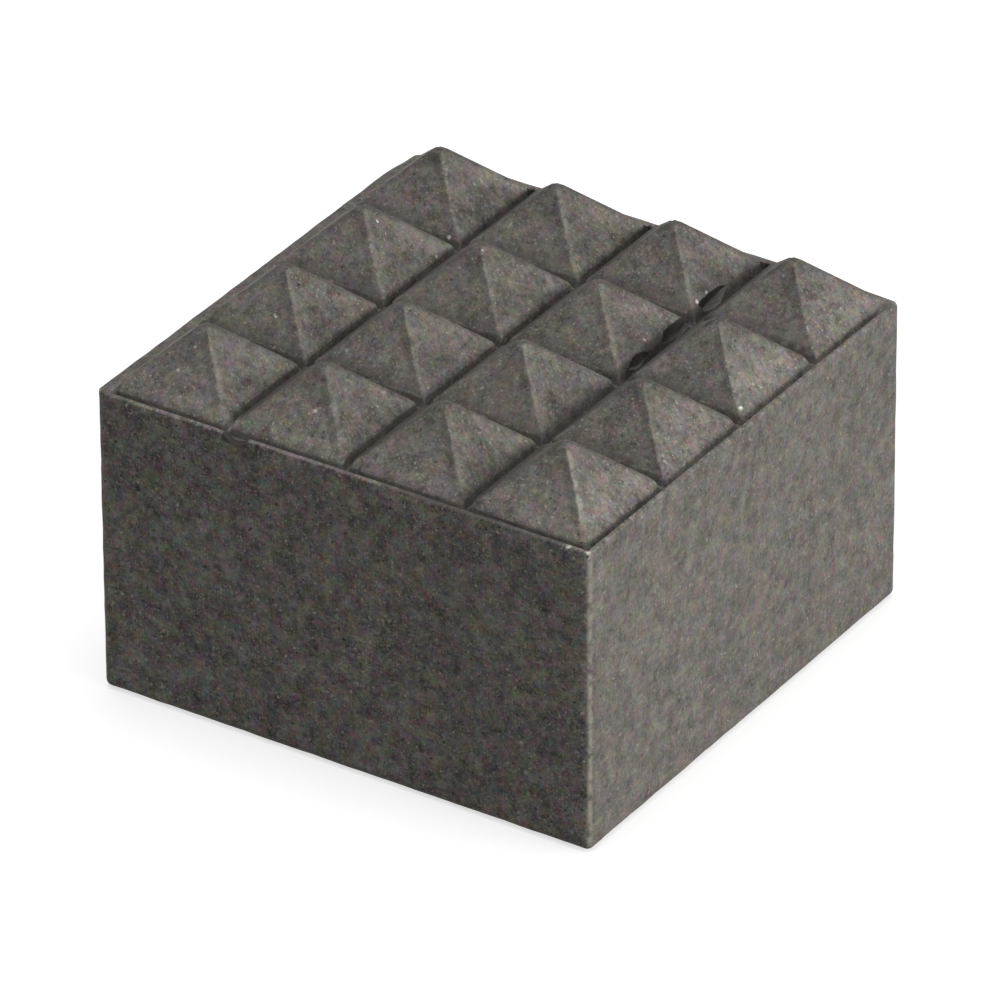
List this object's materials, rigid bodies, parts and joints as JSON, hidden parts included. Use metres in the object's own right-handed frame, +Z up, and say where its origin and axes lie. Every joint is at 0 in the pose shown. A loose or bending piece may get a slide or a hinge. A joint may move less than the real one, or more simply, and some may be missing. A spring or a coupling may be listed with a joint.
{
  "type": "serrated gripper insert",
  "caption": "Square wear block with a flat seat and a gripping face of blunt pyramid teeth parted by narrow slots.",
  "frame": {"origin": "middle of the flat seat, on the seat's plane", "axes": "+Z up through the teeth, square to the seat; +X and +Y square to the flat sides, -Y being the side with the chipped rim"},
  "size_m": [0.0126, 0.0126, 0.0088],
  "materials": {
    "sintered_body": "matte sintered grey with fine light and dark grain"
  },
  "bodies": {
    "root": {"gripper_insert": "sintered_body"}
  },
  "joints": []
}
